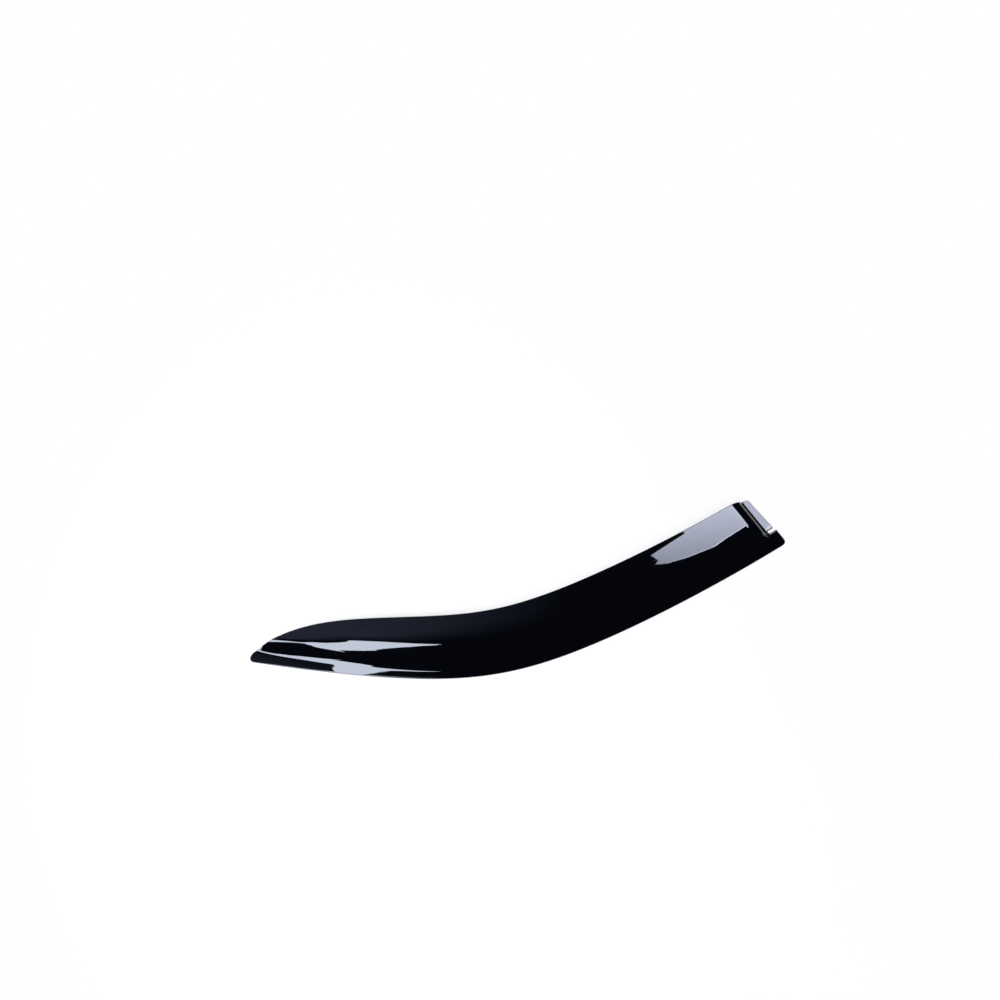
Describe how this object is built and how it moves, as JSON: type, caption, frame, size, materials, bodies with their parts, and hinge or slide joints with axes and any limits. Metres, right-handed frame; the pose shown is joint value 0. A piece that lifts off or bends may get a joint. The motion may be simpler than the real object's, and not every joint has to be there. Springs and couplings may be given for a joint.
{
  "type": "window rain deflector",
  "caption": "Curved dark gloss strip that sits along a car door's window frame, with a flat mounting flange, a raised arched body with a free edge over the glass, and a notched rear end.",
  "frame": {"origin": "centre of the outline's box, in the plane of the flange's back", "axes": "+X from the front tip to the rear end, +Y from the flange to the free edge over the glass, +Z away from the car"},
  "size_m": [0.8922, 0.1938, 0.0215],
  "materials": {
    "deflector": "high gloss, near black"
  },
  "bodies": {
    "root": {"deflector": "deflector"}
  },
  "joints": []
}
